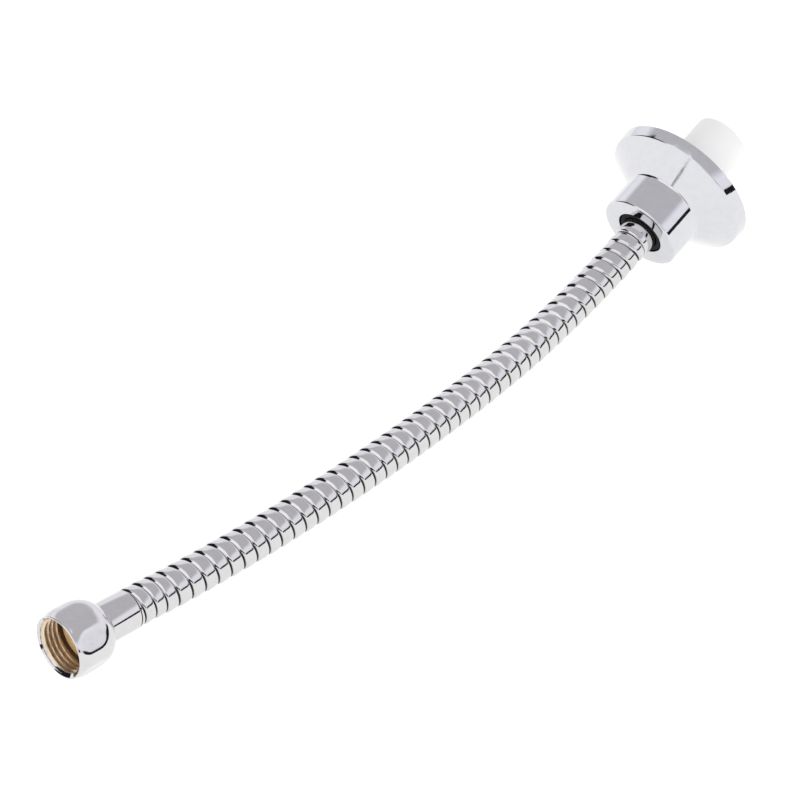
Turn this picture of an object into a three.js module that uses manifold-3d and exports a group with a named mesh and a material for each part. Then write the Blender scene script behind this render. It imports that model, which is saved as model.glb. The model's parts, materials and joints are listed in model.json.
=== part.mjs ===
// Flexible tap connector: a metal-armoured hose with a swivel nut at one end and, at the other,
// a male pipe fitting that passes through a loose wall escutcheon and ends in a thread cap.
// It lies on the plane z = 0. Millimetres, +Z up, +X from the nut towards the wall end.
import * as THREE from 'three';
import { mergeVertices } from 'three/addons/utils/BufferGeometryUtils.js';
import Module from 'manifold-3d';

const wasm = await Module();
wasm.setup();

// General values
const gap = 0.3; // between pieces that touch
const threadGap = 0.25; // between the thread cap and the thread that it covers
const floorGap = 0.02; // under the lowest edge of each end
const sides = 48; // facets round a turned piece
const plateSides = 72; // facets round the escutcheon
const hoseSides = 12; // facets round the hose
const domeSteps = 8; // facets along the nut's dome
const frontSteps = 3; // facets along the slope behind the nut's lip
const armourSteps = 24; // steps along the armour
const linerSteps = 26; // steps along the liner

// Hose
const armourRadius = 7.25; // outside of the metal armour
const armourBore = 5.95;
const linerRadius = 5.3;
const linerBore = 4.1;

// Crimped sleeves, one at each end of the hose
const sleeveRadius = 7.3;
const nutSleeveLength = 12.3;
const wallSleeveLength = 17.5;
const sleeveLip = 1.2; // depth of the counterbore that takes the tail's neck
const sleeveEdge = 0.5; // rounding of the outer edges

// Barbed tails inside the hose
const tailNeck = 6;
const barbCrest = 3.65;
const barbRoot = 3.3;
const barbPitch = 3.2;
const barbCount = 3;
const barbSlope = 0.4; // length of each barb's steep side
const tailBore = 2.5;

// Swivel nut
const nutFlats = 23.5; // across the flats
const nutBody = 12.55; // greatest radius of the turned body that the flats are cut into
const nutLength = 17.7;
const nutLipRadius = 11.5; // outside of the mouth
const nutLipBore = 10.9; // inside of the mouth
const nutLipWidth = 0.7; // length of the lip before the body widens
const nutLipEdge = 0.3; // rounding of the lip
const nutToSleeve = 0.5; // clearance behind the nut, so that it turns freely
const nutFullFrom = 5; // the body has its greatest radius from here
const nutFullTo = 8.2; // to here
const nutBackRadius = 7.2; // outside of the small back end
const nutThread = 9.35; // crest of the internal thread
const nutThreadFrom = 1.7;
const nutThreadTo = 7.4;
const nutReliefSlope = 0.6;
const nutRelief = 10.75; // turned groove behind the thread
const seatDepth = 9; // from the mouth to the tail's sealing face
const seatRadius = 9; // collar that the nut pulls on
const seatThickness = 3;
const seatBore = 5.4;
const seatBoreDepth = 7;
const seatCone = 3; // length of the cone from the wide bore to the narrow one

// Wall fitting
const fittingFlats = 22;
const fittingHexLength = 6;
const pipeThread = 10.35; // crest of the male thread
const pipeRelief = 9.2;
const pipeReliefLength = 1.5;
const pipeEnd = 46; // end of the thread, from the front of the escutcheon
const pipeChamfer = 1.2; // at the open end
const pipeRunOut = 0.8; // from the relief up to the thread
const pipeBore = 6.5;
const pipeBoreCone = 4;
const sleeveStandsOut = 6; // of the sleeve in front of the escutcheon

// Thread cap
const capWall = 0.65;
const capEnd = 55.4; // closed end, from the front of the escutcheon
const capFrom = 19;
const capEndWall = 1.6;
const capEdge = 0.9;
const capLip = 0.2; // rounding of the open end

// Escutcheon and its rubber grommet
const neckRadius = 16.5;
const neckLength = 15.5;
const neckHole = 9.9;
const neckEdge = 0.7;
const rimFrontRadius = 29.5;
const rimBackRadius = 30.3;
const coneLength = 8.3;
const rimWidth = 5;
const plateWall = 1.2;
const grommetLength = 5;

// Where the two ends lie
const wallTilt = THREE.MathUtils.degToRad(19); // the wall end rises on the escutcheon's rim
const nutTilt = THREE.MathUtils.degToRad(-4); // the nut end dips towards the hose
const nutYaw = THREE.MathUtils.degToRad(-4.25);
const wallX = 126.54; // front of the escutcheon
const nutX = -181.16; // mouth of the nut
const nutY = 5.7;

// Middle of the hose, from the nut's sleeve to the wall's sleeve
const routeMiddle = [
  [-134, 1.9, 9.15], [-122, 0.8, 8.45], [-110, -0.3, 7.95], [-98, -1.4, 7.65], [-86, -2.4, 7.45],
  [-73, -3.3, 7.35], [-60, -4.1, 7.35], [-47, -4.8, 7.35], [-34, -5.2, 7.35], [-21, -5.5, 7.35],
  [-8, -5.6, 7.35], [5, -5.5, 7.35], [18, -5.2, 7.35], [31, -4.7, 7.35], [43, -4, 7.35],
  [54, -3.2, 7.37], [65, -2.1, 7.5], [76, -1.1, 7.95], [86, -0.4, 8.95], [94.5, -0.1, 10.5],
  [102, 0, 12.45],
];
const wallStraight = 10.5; // straight stretch of hose that the escutcheon can slide along
const nutStraight = 8;

// Sizes that follow from the ones above
const nutSleeveFrom = nutLength + nutToSleeve;
const tailNeckEnd = nutSleeveFrom + sleeveLip - gap;
const nutSleeveTo = nutSleeveFrom + nutSleeveLength;
const wallSleeveFrom = -sleeveStandsOut;
const wallSleeveTo = wallSleeveFrom + wallSleeveLength;
const fittingHexFrom = wallSleeveTo + gap;
const fittingHexTo = fittingHexFrom + fittingHexLength;
const coneEnd = neckLength + coneLength;
const rimEnd = coneEnd + rimWidth;
const capBore = pipeThread + threadGap;
const capRadius = capBore + capWall;
const sleeveBore = linerRadius + gap;

// The nut's body behind its lip widens in a curve, and its dome is a quarter ellipse to the back end
const frontRadius = (t) => {
  const u = (nutFullFrom - t) / (nutFullFrom - nutLipWidth);
  return nutBody - (nutBody - nutLipRadius) * u * u;
};
const domeRadius = (t) => {
  const u = (t - nutFullTo) / (nutLength - nutFullTo);
  return nutBackRadius + (nutBody - nutBackRadius) * Math.sqrt(1 - u * u);
};
const domeReach = Math.sqrt(1 - ((nutFlats / 2 - nutBackRadius) / (nutBody - nutBackRadius)) ** 2);
const flatEnd = nutFullTo + domeReach * (nutLength - nutFullTo);

// Heights that seat the two ends on the plane
const nutZ = (nutFlats / 2) * Math.cos(nutTilt) - flatEnd * Math.sin(nutTilt) + floorGap;
const wallZ = rimFrontRadius * Math.cos(wallTilt) - coneEnd * Math.sin(wallTilt) + floorGap;

const material = (color, roughness, metalness) =>
  new THREE.MeshStandardMaterial({ color, roughness, metalness });
const finishes = {
  nut: material(0xd3d5da, 0.08, 1),
  sleeve: material(0xced0d6, 0.1, 1),
  armour: material(0xb9bbc2, 0.18, 1),
  plate: material(0xd6d8de, 0.06, 1),
  brass: material(0xb9924f, 0.3, 1),
  fitting: material(0xc9b48a, 0.25, 1),
  liner: material(0x2c2c2e, 0.7, 0),
  rubber: material(0x17171a, 0.8, 0),
  cap: material(0xf2f3f3, 0.45, 0),
};

const named = (name, geometry, finish) => {
  const mesh = new THREE.Mesh(geometry, finish);
  mesh.name = name;
  return mesh;
};

// The middle point of a rounded edge lies this share of its radius inside the corner
const arcShare = 1 - Math.SQRT1_2;

// A piece turned about +X from a closed outline of [radius, distance] points
const turned = (outline, count = sides) => {
  const points = [...outline, outline[0]].map(([r, t]) => new THREE.Vector2(r, t));
  return new THREE.LatheGeometry(points, count).rotateZ(-Math.PI / 2);
};

// A hexagonal bar along +X with one flat facing down
const hexBar = (flats, from, to) => {
  const corner = flats / Math.sqrt(3);
  const shape = new THREE.Shape();
  for (let k = 0; k < 6; k += 1) {
    const angle = THREE.MathUtils.degToRad(30 + 60 * k);
    const method = k === 0 ? 'moveTo' : 'lineTo';
    shape[method](corner * Math.cos(angle), corner * Math.sin(angle));
  }
  shape.closePath();
  const bar = new THREE.ExtrudeGeometry(shape, { depth: to - from, bevelEnabled: false });
  return bar.rotateY(Math.PI / 2).translate(from, 0, 0);
};

const toSolid = (geometry) => {
  const bare = geometry.clone();
  bare.deleteAttribute('normal');
  bare.deleteAttribute('uv');
  const merged = mergeVertices(bare, 1e-4);
  const mesh = new wasm.Mesh({
    numProp: 3,
    vertProperties: new Float32Array(merged.attributes.position.array),
    triVerts: new Uint32Array(merged.index.array),
  });
  return new wasm.Manifold(mesh);
};

const toGeometry = (solid) => {
  const { vertProperties, triVerts } = solid.getMesh();
  const geometry = new THREE.BufferGeometry();
  geometry.setAttribute('position', new THREE.BufferAttribute(vertProperties, 3));
  geometry.setIndex(new THREE.BufferAttribute(triVerts, 1));
  geometry.computeVertexNormals();
  return geometry;
};

// The nut: a round domed body with six flats, bored for its thread, its relief groove and the tail
const swivelNut = () => {
  const past = 1; // the cutting shapes run past the nut by this
  const outline = [
    [0, 0], [nutLipRadius - nutLipEdge, 0], [nutLipRadius, nutLipEdge], [nutLipRadius, nutLipWidth],
  ];
  for (let k = 1; k <= frontSteps; k += 1) {
    const t = nutLipWidth + ((nutFullFrom - nutLipWidth) * k) / frontSteps;
    outline.push([frontRadius(t), t]);
  }
  outline.push([nutBody, nutFullTo]);
  for (let k = 1; k <= domeSteps; k += 1) {
    const u = Math.sin((k / domeSteps) * (Math.PI / 2));
    const t = nutFullTo + u * (nutLength - nutFullTo);
    outline.push([domeRadius(t), t]);
  }
  outline.push([0, nutLength]);
  const bore = [
    [0, -past], [nutLipBore, -past], [nutLipBore, 0], [nutThread, nutThreadFrom],
    [nutThread, nutThreadTo], [nutRelief, nutThreadTo + nutReliefSlope],
    [nutRelief, seatDepth + seatThickness + gap], [tailNeck + gap, seatDepth + seatThickness + gap],
    [tailNeck + gap, nutLength + past], [0, nutLength + past],
  ];
  const body = toSolid(turned(outline)).intersect(toSolid(hexBar(nutFlats, -past, nutLength + past)));
  return toGeometry(body.subtract(toSolid(turned(bore))));
};

// The barbed end of a tail, from the shoulder of its neck to its tip, as outline points
const barbs = (shoulder, direction) => {
  const outline = [[barbRoot, shoulder]];
  for (let k = 1; k <= barbCount; k += 1) {
    const at = shoulder + direction * barbPitch * k;
    outline.push([barbCrest, at - direction * barbSlope], [barbRoot, at]);
  }
  return outline;
};

// The nut's tail: sealing collar, neck through the nut, barbs in the liner
const nutTail = () => {
  const collarEnd = seatDepth + seatThickness;
  const barbed = barbs(tailNeckEnd, 1);
  const tip = barbed[barbed.length - 1][1];
  return turned([
    [seatBore, seatDepth], [seatRadius, seatDepth], [seatRadius, collarEnd],
    [tailNeck, collarEnd], [tailNeck, tailNeckEnd], ...barbed,
    [tailBore, tip], [tailBore, seatDepth + seatBoreDepth + seatCone],
    [seatBore, seatDepth + seatBoreDepth],
  ]);
};

// A crimped sleeve: plain tube, counterbored at the end that meets the tail's neck
const sleeve = (from, to) => {
  const along = Math.sign(to - from);
  const outline = [
    [tailNeck + gap, from], [sleeveRadius - sleeveEdge, from],
    [sleeveRadius, from + along * sleeveEdge], [sleeveRadius, to - along * sleeveEdge],
    [sleeveRadius - sleeveEdge, to], [sleeveBore, to],
    [sleeveBore, from + along * sleeveLip], [tailNeck + gap, from + along * sleeveLip],
  ];
  return turned(along > 0 ? outline : outline.reverse());
};

// The wall fitting: barbs in the liner, spanner hexagon, relief and male thread, one bore through
const wallFitting = () => {
  const shoulder = wallSleeveTo - sleeveLip + gap;
  const barbed = barbs(shoulder, -1).reverse();
  const tip = barbed[0][1];
  const hexMiddle = (fittingHexFrom + fittingHexTo) / 2;
  const core = (tailNeck + tailBore) / 2; // the hexagon is joined on outside this radius
  const body = turned([
    [tailBore, tip], ...barbed, [tailNeck, shoulder], [tailNeck, hexMiddle],
    [pipeRelief, hexMiddle], [pipeRelief, fittingHexTo + pipeReliefLength],
    [pipeThread, fittingHexTo + pipeReliefLength + pipeRunOut], [pipeThread, pipeEnd - pipeChamfer],
    [pipeThread - pipeChamfer, pipeEnd], [pipeBore, pipeEnd],
    [pipeBore, fittingHexTo + pipeBoreCone], [tailBore, fittingHexTo],
  ]);
  const hexagon = toSolid(hexBar(fittingFlats, fittingHexFrom, fittingHexTo)).subtract(
    toSolid(turned([[0, 0], [core, 0], [core, pipeEnd], [0, pipeEnd]])),
  );
  return toGeometry(toSolid(body).add(hexagon));
};

// The thread cap: a plain plastic cup pushed over the male thread
const threadCap = () =>
  turned([
    [capBore, capFrom], [capRadius - capLip, capFrom], [capRadius, capFrom + capLip],
    [capRadius, capEnd - capEdge], [capRadius - arcShare * capEdge, capEnd - arcShare * capEdge],
    [capRadius - capEdge, capEnd], [0, capEnd], [0, capEnd - capEndWall],
    [capBore, capEnd - capEndWall],
  ]);

// The escutcheon: one pressed shell with a holed neck, a cone and a rim band
const escutcheon = () => {
  const coneAngle = Math.atan2(rimFrontRadius - neckRadius, coneLength);
  const corner = plateWall * Math.tan((Math.PI / 2 - coneAngle) / 2);
  const inside = neckRadius - plateWall;
  return turned([
    [neckHole, 0], [neckRadius - neckEdge, 0], [neckRadius - arcShare * neckEdge, arcShare * neckEdge],
    [neckRadius, neckEdge], [neckRadius, neckLength], [rimFrontRadius, coneEnd],
    [rimBackRadius, rimEnd], [rimBackRadius - plateWall, rimEnd],
    [rimFrontRadius - plateWall, coneEnd + corner], [inside, neckLength + corner],
    [inside, plateWall], [neckHole, plateWall],
  ], plateSides);
};

// The grommet: a rubber ring held in the neck, which grips the sleeve
const grommet = () => {
  const from = plateWall + gap;
  const outer = neckRadius - plateWall - gap;
  const inner = sleeveRadius + gap;
  return turned([
    [inner, from], [outer, from], [outer, from + grommetLength], [inner, from + grommetLength],
  ]);
};

// The two ends, each with +X along its own axis and its front at the group's origin
const nutEnd = new THREE.Group();
nutEnd.rotation.order = 'ZYX';
nutEnd.rotation.set(0, -nutTilt, nutYaw);
nutEnd.position.set(nutX, nutY, nutZ);
nutEnd.add(
  named('swivel_nut', swivelNut(), finishes.nut),
  named('nut_tail', nutTail(), finishes.brass),
  named('nut_sleeve', sleeve(nutSleeveFrom, nutSleeveTo), finishes.sleeve),
);

const wallEnd = new THREE.Group();
wallEnd.rotation.set(0, -wallTilt, 0);
wallEnd.position.set(wallX, 0, wallZ);
wallEnd.add(
  named('wall_sleeve', sleeve(wallSleeveTo, wallSleeveFrom), finishes.sleeve),
  named('wall_fitting', wallFitting(), finishes.fitting),
  named('thread_cap', threadCap(), finishes.cap),
  named('escutcheon', escutcheon(), finishes.plate),
  named('neck_grommet', grommet(), finishes.rubber),
);
nutEnd.updateMatrixWorld(true);
wallEnd.updateMatrixWorld(true);

// A tube of the hose, on its route between two distances along the ends' own axes
const onNut = (t) => new THREE.Vector3(t, 0, 0).applyMatrix4(nutEnd.matrixWorld);
const onWall = (t) => new THREE.Vector3(t, 0, 0).applyMatrix4(wallEnd.matrixWorld);
const hoseTube = (name, outer, bore, nutFrom, wallTo, steps, finish) => {
  const middle = routeMiddle.map((p) => new THREE.Vector3(...p));
  const inNut = nutFrom < nutSleeveTo ? [onNut(nutFrom)] : [];
  const inWall = wallTo > wallSleeveFrom ? [onWall(wallTo)] : [];
  const route = new THREE.CatmullRomCurve3([
    ...inNut, onNut(nutSleeveTo + gap), onNut(nutSleeveTo + nutStraight), ...middle,
    onWall(wallSleeveFrom - wallStraight), onWall(wallSleeveFrom - gap), ...inWall,
  ]);
  const section = new THREE.Shape();
  const hole = new THREE.Path();
  for (let k = 0; k < hoseSides; k += 1) {
    const angle = (2 * Math.PI * k) / hoseSides;
    const method = k === 0 ? 'moveTo' : 'lineTo';
    section[method](outer * Math.cos(angle), outer * Math.sin(angle));
    hole[method](bore * Math.cos(angle), bore * Math.sin(angle));
  }
  section.closePath();
  hole.closePath();
  section.holes.push(hole);
  return named(name, new THREE.ExtrudeGeometry(section, { steps, extrudePath: route }), finish);
};

const armour = hoseTube('armour_hose', armourRadius, armourBore, nutSleeveTo + gap,
  wallSleeveFrom - gap, armourSteps, finishes.armour);
const inner = hoseTube('inner_hose', linerRadius, linerBore, nutSleeveFrom + sleeveLip,
  wallSleeveTo - sleeveLip, linerSteps, finishes.liner);

const connector = new THREE.Group();
connector.add(nutEnd, wallEnd, armour, inner);

export default connector;
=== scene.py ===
# Flexible tap connector: a metal-armoured hose with a swivel nut at one end and, at the other,
# a capped pipe end that passes through a wall escutcheon. The looks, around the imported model.
import bisect
import json
import math

import bmesh
import bpy
from mathutils import Matrix, Vector


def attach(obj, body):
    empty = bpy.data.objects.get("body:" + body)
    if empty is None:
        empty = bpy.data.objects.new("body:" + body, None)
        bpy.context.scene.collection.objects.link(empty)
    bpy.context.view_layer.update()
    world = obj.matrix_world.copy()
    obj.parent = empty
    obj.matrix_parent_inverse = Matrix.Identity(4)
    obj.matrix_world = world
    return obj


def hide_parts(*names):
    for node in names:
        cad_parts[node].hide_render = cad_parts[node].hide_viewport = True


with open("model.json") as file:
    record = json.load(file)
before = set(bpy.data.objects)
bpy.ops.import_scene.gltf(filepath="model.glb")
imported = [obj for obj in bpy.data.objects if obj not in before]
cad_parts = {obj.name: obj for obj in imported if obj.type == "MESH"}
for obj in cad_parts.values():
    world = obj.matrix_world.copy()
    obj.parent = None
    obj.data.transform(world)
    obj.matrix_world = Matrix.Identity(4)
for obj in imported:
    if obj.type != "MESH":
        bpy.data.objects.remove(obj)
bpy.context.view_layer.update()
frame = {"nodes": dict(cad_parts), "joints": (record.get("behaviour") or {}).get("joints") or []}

mm = 0.001
fullTurn = 2 * math.pi
scene = bpy.context.scene
scene.view_settings.view_transform = "Standard"
print("frame loaded:", ", ".join(sorted(frame["nodes"])))

# Camera

cameraView = {
    "place": (-0.66884, -0.56663, 0.69754),
    "target": (0.00572, 0.01824, 0.0),
    "lens": 137.16,
    "sensor": 36,
    "clip": (0.01, 50),
}


def makeCamera():
    data = bpy.data.cameras.new("camera")
    data.lens = cameraView["lens"]
    data.sensor_width = cameraView["sensor"]
    data.clip_start, data.clip_end = cameraView["clip"]
    camera = bpy.data.objects.new("camera", data)
    camera.location = cameraView["place"]
    look = Vector(cameraView["target"]) - camera.location
    camera.rotation_euler = look.to_track_quat("-Z", "Y").to_euler()
    scene.collection.objects.link(camera)
    scene.camera = camera


makeCamera()

# Places of the two ends, from the joints: X along the piece's own axis, Z as near up as it can be


def endPlace(jointName):
    joint = next(j for j in frame["joints"] if j["name"] == jointName)
    along = Vector(joint["axis"]).normalized()
    across = Vector((0, 0, 1)).cross(along).normalized()
    turn = Matrix((along, across, along.cross(across))).transposed().to_4x4()
    return Matrix.Translation(joint["pos_m"]) @ turn @ Matrix.Scale(mm, 4)


nutPlace = endPlace("nut_swivel")  # from the nut's mouth, in millimetres
wallPlace = endPlace("plate_turn")  # from the front of the escutcheon, in millimetres


def onNut(t):
    return nutPlace @ Vector((t, 0, 0))


def onWall(t):
    return wallPlace @ Vector((t, 0, 0))


# Making and finishing pieces

arcSteps = 5  # steps in a quarter turn of a rounded corner
arcShare = math.pi / 2 / arcSteps
mergeWithin = 0.001  # points of a piece that are nearer than this are one, in millimetres
sharpFrom = 38  # an edge stays sharp from this angle between its faces


def rounded(*corners):
    # Each corner is (distance along the axis, radius) and may have a third number, its rounding
    points = []
    for k, corner in enumerate(corners):
        at = Vector(corner[:2])
        if len(corner) < 3:
            points.append(at)
            continue
        before = (Vector(corners[k - 1][:2]) - at).normalized()
        after = (Vector(corners[(k + 1) % len(corners)][:2]) - at).normalized()
        half = before.angle(after) / 2
        centre = at + (before + after).normalized() * (corner[2] / math.sin(half))
        arm = at + before * (corner[2] / math.tan(half)) - centre
        sweep = -arm.angle_signed(at + after * (corner[2] / math.tan(half)) - centre)
        steps = max(2, round(abs(sweep) / arcShare))
        for s in range(steps + 1):
            points.append(centre + Matrix.Rotation(sweep * s / steps, 2) @ arm)
    return points


def turned(points, steps):
    # A chain that starts and ends on the axis stays open, any other outline is closed
    bm = bmesh.new()
    verts = [bm.verts.new((p[0], p[1], 0)) for p in points]
    onAxis = points[0][1] == 0 and points[-1][1] == 0
    ends = zip(verts, verts[1:] + ([] if onAxis else verts[:1]))
    edges = [bm.edges.new(pair) for pair in ends]
    bmesh.ops.spin(bm, geom=verts + edges, axis=(1, 0, 0), cent=(0, 0, 0), steps=steps,
                   angle=fullTurn, use_merge=True)
    return bm


def finished(name, bm, place, finish, body, nodes):
    # A piece made in its own frame is in millimetres, one without a place is where it belongs already
    if place:
        bmesh.ops.remove_doubles(bm, verts=bm.verts, dist=mergeWithin)
        bmesh.ops.transform(bm, matrix=place, verts=bm.verts)
    bmesh.ops.recalc_face_normals(bm, faces=bm.faces)
    for face in bm.faces:
        face.smooth = True
    mesh = bpy.data.meshes.new(name)
    bm.to_mesh(mesh)
    bm.free()
    mesh.set_sharp_from_angle(angle=math.radians(sharpFrom))
    mesh.materials.append(finish)
    piece = bpy.data.objects.new(name, mesh)
    scene.collection.objects.link(piece)
    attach(piece, body)
    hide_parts(*nodes)
    return piece


# Shader nodes


class Wire:
    # A node's output that can stand in sums

    def __init__(self, tree, socket):
        self.tree = tree
        self.socket = socket

    def node(self, kind, settings, sockets, output=0):
        return addNode(self.tree, kind, settings, sockets, output)

    def sum(self, operation, first, second):
        return self.node("ShaderNodeMath", {"operation": operation}, {0: first, 1: second})

    def __add__(self, other):
        return self.sum("ADD", self, other)

    def __radd__(self, other):
        return self.sum("ADD", other, self)

    def __sub__(self, other):
        return self.sum("SUBTRACT", self, other)

    def __rsub__(self, other):
        return self.sum("SUBTRACT", other, self)

    def __mul__(self, other):
        return self.sum("MULTIPLY", self, other)

    def __rmul__(self, other):
        return self.sum("MULTIPLY", other, self)

    def __truediv__(self, other):
        return self.sum("DIVIDE", self, other)

    def __rtruediv__(self, other):
        return self.sum("DIVIDE", other, self)

    def __pow__(self, other):
        return self.sum("POWER", self, other)

    def __rpow__(self, other):
        return self.sum("POWER", other, self)

    def between(self, low, high, toLow=0.0, toHigh=1.0):
        return self.node("ShaderNodeMapRange", {"interpolation_type": "SMOOTHSTEP"},
                         {"Value": self, "From Min": low, "From Max": high,
                          "To Min": toLow, "To Max": toHigh})

    def parts(self):
        return [self.node("ShaderNodeSeparateXYZ", {}, {"Vector": self}, k) for k in range(3)]


def addNode(tree, kind, settings, sockets, output=0):
    made = tree.nodes.new(kind)
    for key, value in settings.items():
        if key == "stops":
            ramp = made.color_ramp
            while len(ramp.elements) < len(value):
                ramp.elements.new(0.5)
            for element, (position, colour) in zip(ramp.elements, value):
                element.position = position
                element.color = (*colour, 1)
        else:
            setattr(made, key, value)
    for key, value in sockets.items():
        if isinstance(value, Wire):
            tree.links.new(value.socket, made.inputs[key])
        else:
            made.inputs[key].default_value = value
    return Wire(tree, made.outputs[output])


class Finish:
    # A Principled material whose fixed numbers stand on the shader's own sockets

    def __init__(self, name, place, **fixed):
        self.material = bpy.data.materials.new(name)
        self.material.use_nodes = True
        self.tree = self.material.node_tree
        self.shader = self.tree.nodes["Principled BSDF"]
        for key, value in fixed.items():
            self.shader.inputs[key].default_value = value
        coordinates = addNode(self.tree, "ShaderNodeTexCoord", {}, {}, "Object")
        back = place.inverted()
        self.point = addNode(self.tree, "ShaderNodeMapping", {}, {
            "Vector": coordinates, "Location": back.translation,
            "Rotation": back.to_euler(), "Scale": back.to_scale()})

    def noise(self, scale, detail=3.0):
        return addNode(self.tree, "ShaderNodeTexNoise", {}, {
            "Vector": self.point, "Scale": scale, "Detail": detail}, "Fac")

    def mixed(self, amount, first, second):
        ends = [end if isinstance(end, Wire) else (*end, 1) for end in (first, second)]
        return addNode(self.tree, "ShaderNodeMix", {"data_type": "RGBA"}, {
            0: amount, 6: ends[0], 7: ends[1]}, 2)

    def feed(self, key, wire):
        self.tree.links.new(wire.socket, self.shader.inputs[key])

    def bump(self, height, depth):
        wire = addNode(self.tree, "ShaderNodeBump", {}, {"Height": height, "Distance": depth})
        self.feed("Normal", wire)


print("tools ready")

# Studio: white floor and walls, a grey ceiling, and a bright screen and dark gaps in the walls
# for the chrome to show

studio = {
    # Each colour, and where it stands between straight down, 0, and overhead, 1
    "horizon": ((0.98, 0.97, 1.0), 0.5),
    "wall": ((1.12, 1.11, 1.17), 0.62, 0.71),
    "wallTop": ((0.92, 0.91, 0.95), 0.755),
    "ceiling": ((0.665, 0.655, 0.675), 0.8, 1.0),
    # The screen's middle and half width in degrees round, its foot, its top and its softness
    "screen": (1.3, 1.29, 1.32),
    "screenPlace": (180, 48, 0.4, 0.94, 0.05),
    # The middle and half width of each gap in degrees round, its height and its softness
    "gap": (0.016, 0.014, 0.02),
    "gaps": ((-53, 34, 0.14, 0.006), (-134, 24, 0.22, 0.03), (121, 30, 0.68, 0.03)),
    "floorSize": 6.0,
    "floorColour": (0.5, 0.5, 0.47, 1),
    "floorGlow": 0.8,
}


def makeWorld():
    world = bpy.data.worlds.new("studio")
    world.use_nodes = True
    scene.world = world
    tree = world.node_tree
    direction = addNode(tree, "ShaderNodeTexCoord", {}, {}, "Generated")
    x, y, z = direction.parts()
    bands = (studio[key] for key in ("horizon", "wall", "wallTop", "ceiling"))
    stops = [(height, tone) for tone, *heights in bands for height in heights]
    ramp = addNode(tree, "ShaderNodeValToRGB", {"stops": stops}, {"Fac": z * 0.5 + 0.5})

    def sector(middle, halfWidth, soft):
        angle = math.radians(middle)
        along = (x * math.cos(angle) + y * math.sin(angle)) / (1 - z * z) ** 0.5
        edge = math.cos(math.radians(halfWidth))
        return along.between(edge - soft, edge + soft)

    middle, halfWidth, foot, top, soft = studio["screenPlace"]
    lit = sector(middle, halfWidth, soft) * z.between(foot - soft, foot + soft)
    lit = lit * z.between(top + soft, top - soft)
    shade = None
    for middle, halfWidth, height, soft in studio["gaps"]:
        mask = sector(middle, halfWidth, soft) * z.between(height + soft, height - soft)
        shade = mask if shade is None else shade.sum("MAXIMUM", shade, mask)
    colour = ramp
    for mask, tone in ((lit, studio["screen"]), (shade, studio["gap"])):
        colour = addNode(tree, "ShaderNodeMix", {"data_type": "RGBA"},
                         {0: mask, 6: colour, 7: (*tone, 1)}, 2)
    background = tree.nodes["Background"]
    tree.links.new(colour.socket, background.inputs["Color"])


def makeFloor():
    bm = bmesh.new()
    bmesh.ops.create_grid(bm, x_segments=1, y_segments=1, size=studio["floorSize"] / 2)
    mesh = bpy.data.meshes.new("floor")
    bm.to_mesh(mesh)
    bm.free()
    material = bpy.data.materials.new("floor")
    material.use_nodes = True
    shader = material.node_tree.nodes["Principled BSDF"]
    shader.inputs["Base Color"].default_value = studio["floorColour"]
    shader.inputs["Roughness"].default_value = 1
    shader.inputs["Specular IOR Level"].default_value = 0
    shader.inputs["Emission Color"].default_value = (1, 1, 1, 1)
    shader.inputs["Emission Strength"].default_value = studio["floorGlow"]
    mesh.materials.append(material)
    floor = bpy.data.objects.new("floor", mesh)
    scene.collection.objects.link(floor)


makeWorld()
makeFloor()
print("studio ready")

# Finishes

armour = {
    "radius": 7.25,
    "bore": 5.95,
    "steps": 60,  # round each turn
    "firstGroove": -80,  # degrees round at which the winding meets the nut's sleeve
    # A turn's profile as distance and depth: a slope that faces the nut, then a back that falls away
    # to the rolled edge, which is measured from the next groove
    "slope": ((0, 1.15), (0.08, 1.15), (0.3, 0.9), (0.78, 0.38), (1.05, 0.15), (1.35, 0.03), (1.75, 0)),
    "back": ((2.5, 0.015), (3.2, 0.05), (3.9, 0.1), (4.5, 0.155)),
    "rolledEdge": ((0.6, 0.24), (0.36, 0.31), (0.2, 0.45), (0.12, 0.7), (0.1, 1.05), (0, 1.15)),
    # Where some of the turns begin, in millimetres from the nut's sleeve
    "places": ((0, 0), (3, 14.8), (9, 50), (30, 170.2), (42, 245.6), (47, 273)),
    "spareTurns": (2, 1),  # wound beyond the nut's and the wall's end, and cut off
    "mergeWithin": 0.01,
    # The colour of the painted shade between the turns
    "paintedShade": (0.05, 0.047, 0.045),
    "shadeDepths": (0.8, 1.1),  # where it begins and where it is thick
    "shadeNoise": 1.5,
    "shadeUneven": 0.2,
    "shadeDull": 0.35,
    # Heights round the hose between which the painted shade grows, and what is added to the depth at
    # each
    "shadeUnder": (0.85, 0.45, -0.25, 0.45),
}

hosePlace = Matrix.Scale(mm, 4)


# A noise's scale is in waves to the millimetre, and these are parts of its values that go from
# nothing to full

patchy = (0.35, 0.7)
grainy = (0.3, 0.7)

plating = {
    "patches": 0.35,
    "patchTone": 0.97,
    "polish": 1.1,
    "polishRange": (0.3, 0.75),
    "polishLeast": 0.6,  # as a share of the finish's dullness
    "polishMost": 1.5,
    "waves": 0.5,
}


def chromeFinish(name, place, colour, dull=0.05, waveDepth=0.008, partly=None):
    # Bright plate in slightly uneven tones, with shallow waves from polishing
    finish = Finish(name, place, Metallic=1.0)
    patches = finish.noise(plating["patches"], detail=2).between(*patchy)
    plated = finish.mixed(patches, colour, tuple(plating["patchTone"] * c for c in colour))
    polish = finish.noise(plating["polish"]).between(
        *plating["polishRange"], plating["polishLeast"] * dull, plating["polishMost"] * dull)
    if partly:
        plated, polish = partly(finish, plated, polish)
    finish.feed("Base Color", plated)
    finish.feed("Roughness", polish)
    finish.bump(finish.noise(plating["waves"], detail=2), waveDepth * mm)
    return finish.material


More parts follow.
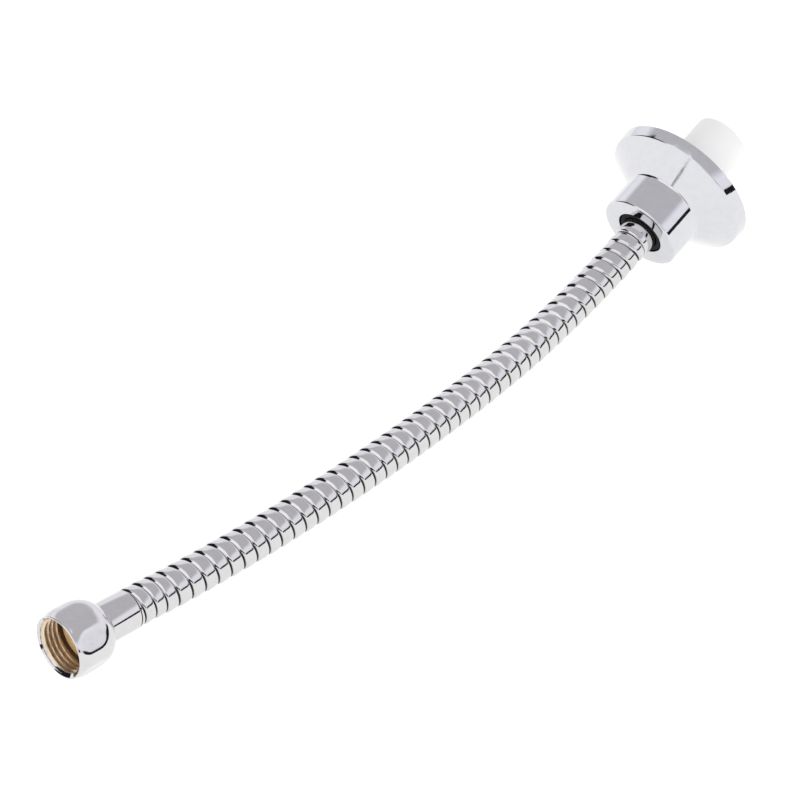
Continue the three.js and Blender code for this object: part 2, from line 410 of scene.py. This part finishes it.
nutInside = {
    "radius": (10.95, 10.85),  # each pair goes from plate to brass
    "from": (0.9, 1.3),
    "to": (12.4, 12.2),
    "thread": (9.5, 10.7),  # from its crests to its roots
    "colour": (0.84, 0.7, 0.53),
    "darkerTone": (0.5, 0.42, 0.31),
    "darkerNoise": 0.8,
    "darkerByDepth": 0.7,  # the rest is by noise
    "dull": 0.4,
}


def bareInside(finish, plated, polish):
    # The plating stops at the nut's mouth: its thread is bare brass, darker in the roots
    x, y, z = finish.point.parts()
    radius = (y * y + z * z) ** 0.5
    bare = radius.between(*nutInside["radius"])
    bare = bare * x.between(*nutInside["to"]) * x.between(*nutInside["from"])
    byDepth = nutInside["darkerByDepth"]
    patches = finish.noise(nutInside["darkerNoise"]).between(*patchy)
    # The brass is darker towards the thread's roots and in random patches
    darkerTone = radius.between(*nutInside["thread"]) * byDepth + patches * (1 - byDepth)
    brassy = finish.mixed(darkerTone, nutInside["colour"], nutInside["darkerTone"])
    return finish.mixed(bare, plated, brassy), bare * (nutInside["dull"] - polish) + polish


def paintedGrooveShade(finish, plated, polish):
    # Painted shade: the colour darkens deep between the turns of the armour
    depth = addNode(finish.tree, "ShaderNodeAttribute", {"attribute_name": "depth"}, {}, "Fac")
    uneven = finish.noise(armour["shadeNoise"]) * armour["shadeUneven"]
    paintedShade = (depth + uneven - armour["shadeUneven"] / 2).between(*armour["shadeDepths"])
    return finish.mixed(paintedShade, plated, armour["paintedShade"]), paintedShade * armour["shadeDull"] + polish


turnedBrass = {"markPitch": 0.25, "markDepth": 0.02, "clouds": 0.4, "roughness": (0.4, 0.56)}


def turnedMarks(finish):
    # Fine tool marks round the axis, on faces that stand across it and along it
    x, y, z = finish.point.parts()
    radius = (y * y + z * z) ** 0.5
    pitch = turnedBrass["markPitch"]
    marks = radius.node("ShaderNodeTexNoise", {"noise_dimensions": "2D"}, {
        "Vector": radius.node("ShaderNodeCombineXYZ", {}, {0: radius / pitch, 1: x / pitch}),
        "Scale": 1.0, "Detail": 3.0}, "Fac")
    finish.bump(marks, turnedBrass["markDepth"] * mm)
    return marks


def brassFinish(name, place, colour, darkerTone, metal=1.0):
    finish = Finish(name, place, Metallic=metal)
    clouds = finish.noise(turnedBrass["clouds"]).between(*patchy)
    finish.feed("Base Color", finish.mixed(clouds, colour, darkerTone))
    finish.feed("Roughness", turnedMarks(finish).between(*grainy, *turnedBrass["roughness"]))
    return finish.material


rubber = {
    "shine": 0.15,
    "grain": 6,
    "grainDepth": 0.04,
    "colour": (0.007, 0.007, 0.008),
    "dusty": (0.018, 0.018, 0.019),
    "roughness": (0.6, 0.85),
}


def rubberFinish(name, place):
    finish = Finish(name, place, **{"Specular IOR Level": rubber["shine"]})
    grain = finish.noise(rubber["grain"], detail=5)
    finish.feed("Base Color", finish.mixed(grain.between(*grainy), rubber["colour"], rubber["dusty"]))
    finish.feed("Roughness", grain.between(*grainy, *rubber["roughness"]))
    finish.bump(grain, rubber["grainDepth"] * mm)
    return finish.material


plastic = {
    "shine": 0.35,
    # Painted glow: the white plastic emits a little light of its own, standing in for light that passes
    # through its thin wall
    "paintedGlow": (1, 1, 0.98, 1),  # light that passes through the thin white wall
    "paintedGlowStrength": 0.1,
    "grain": 9,
    "grainDepth": 0.015,
    "flow": 0.12,
    "colour": (0.94, 0.945, 0.93),
    "greyer": (0.91, 0.915, 0.905),
    "roughness": (0.38, 0.55),
}


def capFinish():
    # The cap's plastic carries a faint painted glow that makes it brighter
    finish = Finish("cap_plastic", wallPlace, **{
        "Specular IOR Level": plastic["shine"], "Emission Color": plastic["paintedGlow"],
        "Emission Strength": plastic["paintedGlowStrength"]})
    grain = finish.noise(plastic["grain"], detail=4)
    flow = finish.noise(plastic["flow"], detail=2).between(*grainy)
    finish.feed("Base Color", finish.mixed(flow, plastic["colour"], plastic["greyer"]))
    finish.feed("Roughness", grain.between(*grainy, *plastic["roughness"]))
    finish.bump(grain, plastic["grainDepth"] * mm)
    return finish.material


chrome = {
    "nut": chromeFinish("nut_chrome", nutPlace, (0.65, 0.645, 0.655), waveDepth=0.003,
                        partly=bareInside),
    "nutSleeve": chromeFinish("nut_sleeve_chrome", nutPlace, (0.65, 0.64, 0.655)),
    "wallSleeve": chromeFinish("wall_sleeve_chrome", wallPlace, (0.65, 0.64, 0.655)),
    "armour": chromeFinish("armour_chrome", hosePlace, (0.64, 0.635, 0.645), dull=0.09,
                           partly=paintedGrooveShade),
    "plate": chromeFinish("plate_chrome", wallPlace, (0.65, 0.655, 0.685)),
}
brass = brassFinish("tail_brass", nutPlace, (1.0, 0.74, 0.38), (0.96, 0.65, 0.3), metal=0.3)
fittingBrass = brassFinish("fitting_brass", wallPlace, (0.74, 0.62, 0.4), (0.6, 0.5, 0.32))
grommetRubber = rubberFinish("grommet_rubber", wallPlace)
linerRubber = rubberFinish("liner_rubber", hosePlace)
capPlastic = capFinish()
print("finishes ready")

# Hose: the route's middle points are the ones in the part's source, in metres

route = {
    "middle": (
        (-0.134, 0.0019, 0.00915), (-0.122, 0.0008, 0.00845), (-0.110, -0.0003, 0.00795),
        (-0.098, -0.0014, 0.00765), (-0.086, -0.0024, 0.00745), (-0.073, -0.0033, 0.00735),
        (-0.060, -0.0041, 0.00735), (-0.047, -0.0048, 0.00735), (-0.034, -0.0052, 0.00735),
        (-0.021, -0.0055, 0.00735), (-0.008, -0.0056, 0.00735), (0.005, -0.0055, 0.00735),
        (0.018, -0.0052, 0.00735), (0.031, -0.0047, 0.00735), (0.043, -0.004, 0.00735),
        (0.054, -0.0032, 0.00737), (0.065, -0.0021, 0.0075), (0.076, -0.0011, 0.00795),
        (0.086, -0.0004, 0.00895), (0.0945, -0.0001, 0.0105), (0.102, 0, 0.01245),
    ),
    "armourOnNut": (30.8, 38.5),
    "armourOnWall": (-16.5, -6.3),
    "linerOnNut": 19.4,
    "linerOnWall": 10.3,
    "steps": 10,  # between two points
}


def routeBetween(starts, ends):
    # A smooth line through the points, as close together as bending needs
    points = [onNut(t) for t in starts] + [Vector(p) for p in route["middle"]]
    points += [onWall(t) for t in ends]
    points = [2 * points[0] - points[1]] + points + [2 * points[-1] - points[-2]]
    line = []
    for a, b, c, d in zip(points, points[1:], points[2:], points[3:]):
        spans = [max((q - p).length ** 0.5, 1e-6) for p, q in ((a, b), (b, c), (c, d))]
        leave = (b - a) / spans[0] - (c - a) / (spans[0] + spans[1]) + (c - b) / spans[1]
        arrive = (c - b) / spans[1] - (d - b) / (spans[1] + spans[2]) + (d - c) / spans[2]
        for s in range(route["steps"]):
            u = s / route["steps"]
            line.append((2 * u ** 3 - 3 * u ** 2 + 1) * b + (u ** 3 - 2 * u ** 2 + u) * leave * spans[1]
                        + (3 * u ** 2 - 2 * u ** 3) * c + (u ** 3 - u ** 2) * arrive * spans[1])
    return line + [points[-2]]


def lengths(line):
    along = [0.0]
    for a, b in zip(line, line[1:]):
        along.append(along[-1] + (b - a).length)
    return along


def bend(bm, line, spread=lambda t: t):
    # Lays a straight tube, made along X in millimetres, on the line
    along = lengths(line)
    nexts, lasts = line[1:] + line[-1:], line[:1] + line[:-1]
    forward = [(b - a).normalized() for a, b in zip(lasts, nexts)]
    for vert in bm.verts:
        t = min(max(spread(vert.co.x) * mm, 0), along[-1])
        k = min(max(bisect.bisect_right(along, t) - 1, 0), len(line) - 2)
        share = (t - along[k]) / (along[k + 1] - along[k])
        ahead = forward[k].lerp(forward[k + 1], share).normalized()
        across = Vector((0, 0, 1)).cross(ahead).normalized()
        up = ahead.cross(across)
        vert.co = line[k].lerp(line[k + 1], share) + (across * vert.co.y + up * vert.co.z) * mm


def armourStrip(pitch):
    # One turn of the strip, from groove to groove
    edge = tuple((pitch - t, depth) for t, depth in armour["rolledEdge"])
    return [(t, armour["radius"] - depth) for t, depth in armour["slope"] + armour["back"] + edge]


def turnPlaces(length):
    # From a place on an evenly wound hose to the place on the real one
    turns, whole = armour["places"][-1]

    def place(t):
        turn = t * turns / length
        k = next((k for k, stop in enumerate(armour["places"][1:-1]) if turn < stop[0]), -2)
        (low, start), (high, end) = armour["places"][k:k + 2] if k >= 0 else armour["places"][-2:]
        return (start + (end - start) * (turn - low) / (high - low)) * length / whole

    return place


def closeEnds(bm, length):
    # Cuts a wound tube square at both ends and closes its wall there
    for place, way in ((0, -1), (length, 1)):
        bmesh.ops.bisect_plane(bm, geom=bm.verts[:] + bm.edges[:] + bm.faces[:], dist=1e-4,
                               plane_co=(place, 0, 0), plane_no=(way, 0, 0), clear_outer=True)
        rim = [e for e in bm.edges if e.is_boundary
               and all(abs(v.co.x - place) < armour["mergeWithin"] for v in e.verts)]
        bmesh.ops.bridge_loops(bm, edges=rim)


def shadeBelow(height):
    # Painted shade sits deep in the grooves on top of the hose and comes nearer to their edges down its
    # sides
    high, low, least, most = armour["shadeUnder"]
    share = min(max((high - height) / (high - low), 0), 1)
    return least + (most - least) * share * share * (3 - 2 * share)


def makeArmour():
    line = routeBetween(route["armourOnNut"], route["armourOnWall"])
    length = lengths(line)[-1] / mm
    whole = armour["places"][-1][0]
    before, after = armour["spareTurns"]
    pitch = length / whole
    start = pitch * (armour["firstGroove"] / 360 - before)
    bm = bmesh.new()
    for chain in (armourStrip(pitch), ((0, armour["bore"]), (pitch, armour["bore"]))):
        verts = [bm.verts.new((start + t, r, 0)) for t, r in chain]
        edges = [bm.edges.new(pair) for pair in zip(verts, verts[1:])]
        bmesh.ops.spin(bm, geom=verts + edges, axis=(1, 0, 0), cent=(0, 0, 0), steps=armour["steps"],
                       angle=fullTurn, dvec=(pitch / armour["steps"], 0, 0))
    turns = 1
    while turns < before + whole + after:
        copy = bmesh.ops.duplicate(bm, geom=bm.verts[:] + bm.edges[:] + bm.faces[:])["geom"]
        bmesh.ops.translate(bm, vec=(pitch * turns, 0, 0),
                            verts=[v for v in copy if isinstance(v, bmesh.types.BMVert)])
        turns *= 2
    bmesh.ops.remove_doubles(bm, verts=bm.verts, dist=armour["mergeWithin"])
    closeEnds(bm, length)
    bmesh.ops.recalc_face_normals(bm, faces=bm.faces)
    # Depth below the crowns, shifted so that the painted shade comes out of the grooves on the lower
    # side
    depth = bm.verts.layers.float.new("depth")
    for vert in bm.verts:
        radius = math.hypot(vert.co.y, vert.co.z)
        vert[depth] = armour["radius"] - radius + shadeBelow(vert.co.z / radius)
    bend(bm, line, turnPlaces(length))
    piece = finished("hose_armour", bm, None, chrome["armour"], "hose",
                     ["armour_hose"])
    return piece, line


liner = {"radius": 5.3, "bore": 4.1, "sides": 32, "rings": 120}


def makeLiner():
    line = routeBetween((route["linerOnNut"], *route["armourOnNut"]),
                        (*route["armourOnWall"], route["linerOnWall"]))
    length = lengths(line)[-1] / mm
    bm = turned(rounded((0, liner["bore"]), (0, liner["radius"]), (length, liner["radius"]),
                        (length, liner["bore"])), liner["sides"])
    lengthwise = [e for e in bm.edges if abs(e.verts[0].co.x - e.verts[1].co.x) > length / 2]
    bmesh.ops.subdivide_edges(bm, edges=lengthwise, cuts=liner["rings"])
    bmesh.ops.recalc_face_normals(bm, faces=bm.faces)
    bend(bm, line)
    return finished("hose_liner", bm, None, linerRubber, "hose", ["inner_hose"])


hoseArmour, hoseLine = makeArmour()
hoseLiner = makeLiner()
hoseLength = lengths(hoseLine)[-1]
print("hose ready:", round(hoseLength, 4), "m of armour")

# Shapes that change round the axis: a turned outline with close rows, whose points move in or out


def spaced(points, step):
    out = [Vector(points[0])]
    for a, b in zip(points, points[1:]):
        a, b = Vector(a), Vector(b)
        parts = max(1, math.ceil((b - a).length / step))
        out += [a.lerp(b, s / parts) for s in range(1, parts + 1)]
    return out


def softLeast(a, b, width):
    # The smaller of two radii, with the edge where they meet rounded
    share = min(max(0.5 + 0.5 * (b - a) / width, 0), 1)
    return b + (a - b) * share - width * share * (1 - share)


def hexagonAt(angle, flats, edge):
    # From the axis to the sides of a hexagon with one side facing down
    sixth = math.pi / 3
    turn = (angle - math.pi / 2) % sixth
    near, far = sorted((turn, sixth - turn))
    return softLeast(flats / 2 / math.cos(near), flats / 2 / math.cos(far), edge)


pipeThread = {"pitch": 1.814, "flat": 0.14}  # half-inch pipe thread, and the share of it that is flat


def toothAt(t, angle):
    # A thread's height at a place, from 0 at its root to 1 at its crest
    phase = (t / pipeThread["pitch"] - angle / fullTurn) % 1
    return min(max((abs(2 * phase - 1) - pipeThread["flat"]) / (1 - 2 * pipeThread["flat"]), 0), 1)


def reshape(bm, radiusAt):
    for vert in bm.verts:
        r = math.hypot(vert.co.y, vert.co.z)
        share = radiusAt(vert.co.x, r, math.atan2(vert.co.z, vert.co.y)) / r
        vert.co.y *= share
        vert.co.z *= share


nut = {
    "flats": 23.5, "edge": 0.42, "length": 17.7, "steps": 288, "rows": 0.27, "threadRows": 0.11,
    "lip": 11.49, "lipBore": 10.9, "lipWidth": 0.7, "body": 12.55, "bodyFrom": 5, "domeFrom": 8.2,
    "frontSteps": 14, "domeSteps": 26, "back": 7.2, "neckHole": 6.3, "collar": 12.3, "smallEdge": 0.3,
    "crest": 9.35, "root": 10.48, "threadFrom": 1.7, "threadTo": 8, "relief": 10.75, "reliefFrom": 8.5,
}


def nutRadius(t, r, angle):
    n = nut
    if t < n["reliefFrom"] and r < n["lipBore"]:
        tooth = n["root"] - (n["root"] - n["crest"]) * toothAt(t, angle)
        mouth = n["lipBore"] - (n["lipBore"] - n["crest"]) * t / n["threadFrom"]
        share = (t - n["threadTo"]) / (n["reliefFrom"] - n["threadTo"])
        return max(tooth, mouth, n["crest"] + (n["relief"] - n["crest"]) * share)
    return softLeast(r, hexagonAt(angle, n["flats"], n["edge"]), n["edge"])


def makeNut():
    n = nut
    edge = n["smallEdge"]
    points = rounded((0, n["lipBore"]), (0, n["lip"], edge), (n["lipWidth"], n["lip"]))
    for s in range(1, n["frontSteps"] + 1):
        u = 1 - s / n["frontSteps"]
        points.append(Vector((n["bodyFrom"] - u * (n["bodyFrom"] - n["lipWidth"]),
                              n["body"] - (n["body"] - n["lip"]) * u * u)))
    for s in range(n["domeSteps"]):
        u = math.sin(s / n["domeSteps"] * math.pi / 2)
        points.append(Vector((n["domeFrom"] + u * (n["length"] - n["domeFrom"]),
                              n["back"] + (n["body"] - n["back"]) * math.sqrt(1 - u * u))))
    points += rounded((n["length"], n["back"]), (n["length"], n["neckHole"], edge),
                      (n["collar"], n["neckHole"]), (n["collar"], n["relief"], edge),
                      (n["reliefFrom"], n["relief"]))
    thread = [points[-1], (n["threadTo"], n["crest"]), (n["threadFrom"], n["crest"]), points[0]]
    bm = turned(spaced(points, n["rows"]) + spaced(thread, n["threadRows"])[1:-1], n["steps"])
    reshape(bm, nutRadius)
    return finished("nut_body", bm, nutPlace, chrome["nut"], "nut", ["swivel_nut"])


barb = {"root": 3.3, "crest": 3.65, "crestEdge": 0.08, "pitch": 3.2, "count": 3, "steep": 0.4,
        "bore": 2.5}


def barbs(shoulder, way):
    corners = [(shoulder, barb["root"])]
    for k in range(1, barb["count"] + 1):
        at = shoulder + way * barb["pitch"] * k
        corners += [(at - way * barb["steep"], barb["crest"], barb["crestEdge"]), (at, barb["root"])]
    return corners


tail = {"face": 9, "collar": 9, "collarEnd": 12, "hole": 5.4, "holeTo": 16, "coneTo": 19,
        "neck": 6, "neckEnd": 19.1, "edge": 0.3, "faceEdge": 0.35, "neckEdge": 0.2, "steps": 160}


def makeTail():
    edge = tail["edge"]
    corners = barbs(tail["neckEnd"], 1)
    outline = rounded((tail["face"], tail["hole"], edge),
                      (tail["face"], tail["collar"], tail["faceEdge"]),
                      (tail["collarEnd"], tail["collar"], edge),
                      (tail["collarEnd"], tail["neck"], edge),
                      (tail["neckEnd"], tail["neck"], tail["neckEdge"]), *corners,
                      (corners[-1][0], barb["bore"]), (tail["coneTo"], barb["bore"]),
                      (tail["holeTo"], tail["hole"]))
    return finished("nut_tail_brass", turned(outline, tail["steps"]), nutPlace, brass, "hose",
                    ["nut_tail"])


sleeve = {
    "radius": 7.3, "lip": 1.2, "neckHole": 6.3, "bore": 5.6, "backEdge": 0.5, "boreEdge": 0.25,
    "steps": 160,
    # From the tail's neck to the hose, and the rounding there
    "onNut": (18.2, 30.5, 0.45), "onWall": (11.5, -6, 0.9),
}


def makeSleeve(name, ends, place, finish, node):
    start, end, edge = ends
    step = start + math.copysign(sleeve["lip"], end - start)
    outline = rounded((start, sleeve["neckHole"]), (start, sleeve["radius"], sleeve["backEdge"]),
                      (end, sleeve["radius"], edge), (end, sleeve["bore"], sleeve["boreEdge"]),
                      (step, sleeve["bore"]), (step, sleeve["neckHole"]))
    return finished(name, turned(outline, sleeve["steps"]), place, finish, "hose",
                    [node])


fitting = {
    "flats": 22, "edge": 0.4, "hexFrom": 11.8, "hexTo": 17.8, "neck": 6, "shoulder": 10.6,
    "blankSpare": 0.2,  # beyond the hexagon's corners, before its bevel is turned
    "bevelLength": 0.6, "bevelDepth": 1.3, "faceFoot": 6.1,
    "relief": 9.2, "reliefTo": 19.3, "crest": 10.35, "root": 9.25, "threadFrom": 20.1, "end": 46,
    "chamfer": 1.2, "bore": 6.5, "boreCone": 4, "steps": 144, "rows": 0.4, "threadRows": 0.16,
}


def fittingRadius(t, r, angle):
    f = fitting
    if f["hexFrom"] <= t <= f["hexTo"]:
        return softLeast(r, hexagonAt(angle, f["flats"], f["edge"]), f["edge"])
    if t > f["reliefTo"] and r > f["relief"] - f["chamfer"]:
        return min(r, f["root"] + (f["crest"] - f["root"]) * toothAt(t, angle))
    return r


def makeFitting():
    f = fitting
    blank = f["flats"] / math.sqrt(3) + f["blankSpare"]
    low = blank - f["bevelDepth"]
    corners = barbs(f["shoulder"], -1)
    points = rounded((corners[-1][0], barb["bore"]), *reversed(corners), (f["shoulder"], f["neck"]),
                     (f["hexFrom"], f["neck"]))
    points += spaced(((f["hexFrom"], f["faceFoot"]), (f["hexFrom"], low),
                      (f["hexFrom"] + f["bevelLength"], blank), (f["hexTo"] - f["bevelLength"], blank),
                      (f["hexTo"], low), (f["hexTo"], f["relief"])), f["rows"])
    points += [Vector((f["reliefTo"], f["relief"]))]
    points += spaced(((f["threadFrom"], f["crest"]), (f["end"] - f["chamfer"], f["crest"]),
                      (f["end"], f["crest"] - f["chamfer"])), f["threadRows"])
    points += rounded((f["end"], f["bore"]), (f["hexTo"] + f["boreCone"], f["bore"]),
                      (f["hexTo"], barb["bore"]))
    bm = turned(points, f["steps"])
    reshape(bm, fittingRadius)
    return finished("wall_fitting_brass", bm, wallPlace, fittingBrass, "hose",
                    ["wall_fitting"])


cap = {"from": 19, "to": 55.33, "radius": 11.25, "bore": 10.6, "endWall": 1.6, "edge": 0.9, "lip": 0.2,
       "boreEdge": 0.5, "gate": (1.1, 1.4), "gateDepth": 0.25, "gateEdge": 0.15, "steps": 192}


def makeCap():
    # A plain moulded cup, with the shallow dimple of its moulding gate in the end
    c = cap
    bottom, inside = c["to"] - c["gateDepth"], c["to"] - c["endWall"]
    outline = rounded((bottom, 0), (bottom, c["gate"][0], c["gateEdge"]),
                      (c["to"], c["gate"][1], c["gateEdge"]), (c["to"], c["radius"], c["edge"]),
                      (c["from"], c["radius"], c["lip"]), (c["from"], c["bore"], c["lip"]),
                      (inside, c["bore"], c["boreEdge"]), (inside, 0))
    return finished("cap_cup", turned(outline, c["steps"]), wallPlace, capPlastic, "cap",
                    ["thread_cap"])


plate = {"hole": 9.9, "neck": 16.5, "neckTo": 15.5, "coneTo": 23.8, "rimFront": 29.5, "rimBack": 30.3,
         "rimTo": 28.8, "wall": 1.2, "steps": 256,
         "holeEdge": 0.35, "faceEdge": 0.7, "coneFoot": 1.1, "coneEdge": 0.6, "rimEdge": 0.4,
         "backEdge": 0.3}


def makePlate():
    p = plate
    slope = math.atan2(p["rimFront"] - p["neck"], p["coneTo"] - p["neckTo"])
    shift = p["wall"] * math.tan((math.pi / 2 - slope) / 2)
    outline = rounded((0, p["hole"], p["holeEdge"]), (0, p["neck"], p["faceEdge"]),
                      (p["neckTo"], p["neck"], p["coneFoot"]),
                      (p["coneTo"], p["rimFront"], p["coneEdge"]),
                      (p["rimTo"], p["rimBack"], p["rimEdge"]),
                      (p["rimTo"], p["rimBack"] - p["wall"], p["backEdge"]),
                      (p["coneTo"] + shift, p["rimFront"] - p["wall"]),
                      (p["neckTo"] + shift, p["neck"] - p["wall"]), (p["wall"], p["neck"] - p["wall"]),
                      (p["wall"], p["hole"], p["holeEdge"]))
    return finished("escutcheon_shell", turned(outline, p["steps"]), wallPlace, chrome["plate"],
                    "plate", ["escutcheon"])


grommet = {"from": 1.5, "to": 6.5, "outer": 15, "inner": 7.6, "lipFrom": 0.5, "lipRadius": 9.55,
           "edge": 0.4, "steps": 128}


def makeGrommet():
    # A rubber ring behind the neck's face, with a lip that fills the hole round the sleeve
    g = grommet
    edge = g["edge"]
    outline = rounded((g["lipFrom"], g["inner"], edge), (g["lipFrom"], g["lipRadius"], edge),
                      (g["from"], g["lipRadius"]), (g["from"], g["outer"], edge),
                      (g["to"], g["outer"], edge), (g["to"], g["inner"], edge))
    return finished("grommet_ring", turned(outline, g["steps"]), wallPlace, grommetRubber, "grommet",
                    ["neck_grommet"])


makeNut()
makeTail()
makeSleeve("nut_sleeve_tube", sleeve["onNut"], nutPlace, chrome["nutSleeve"], "nut_sleeve")
print("nut end ready")
makeSleeve("wall_sleeve_tube", sleeve["onWall"], wallPlace, chrome["wallSleeve"], "wall_sleeve")
makeFitting()
makeCap()
makePlate()
makeGrommet()
print("wall end ready")
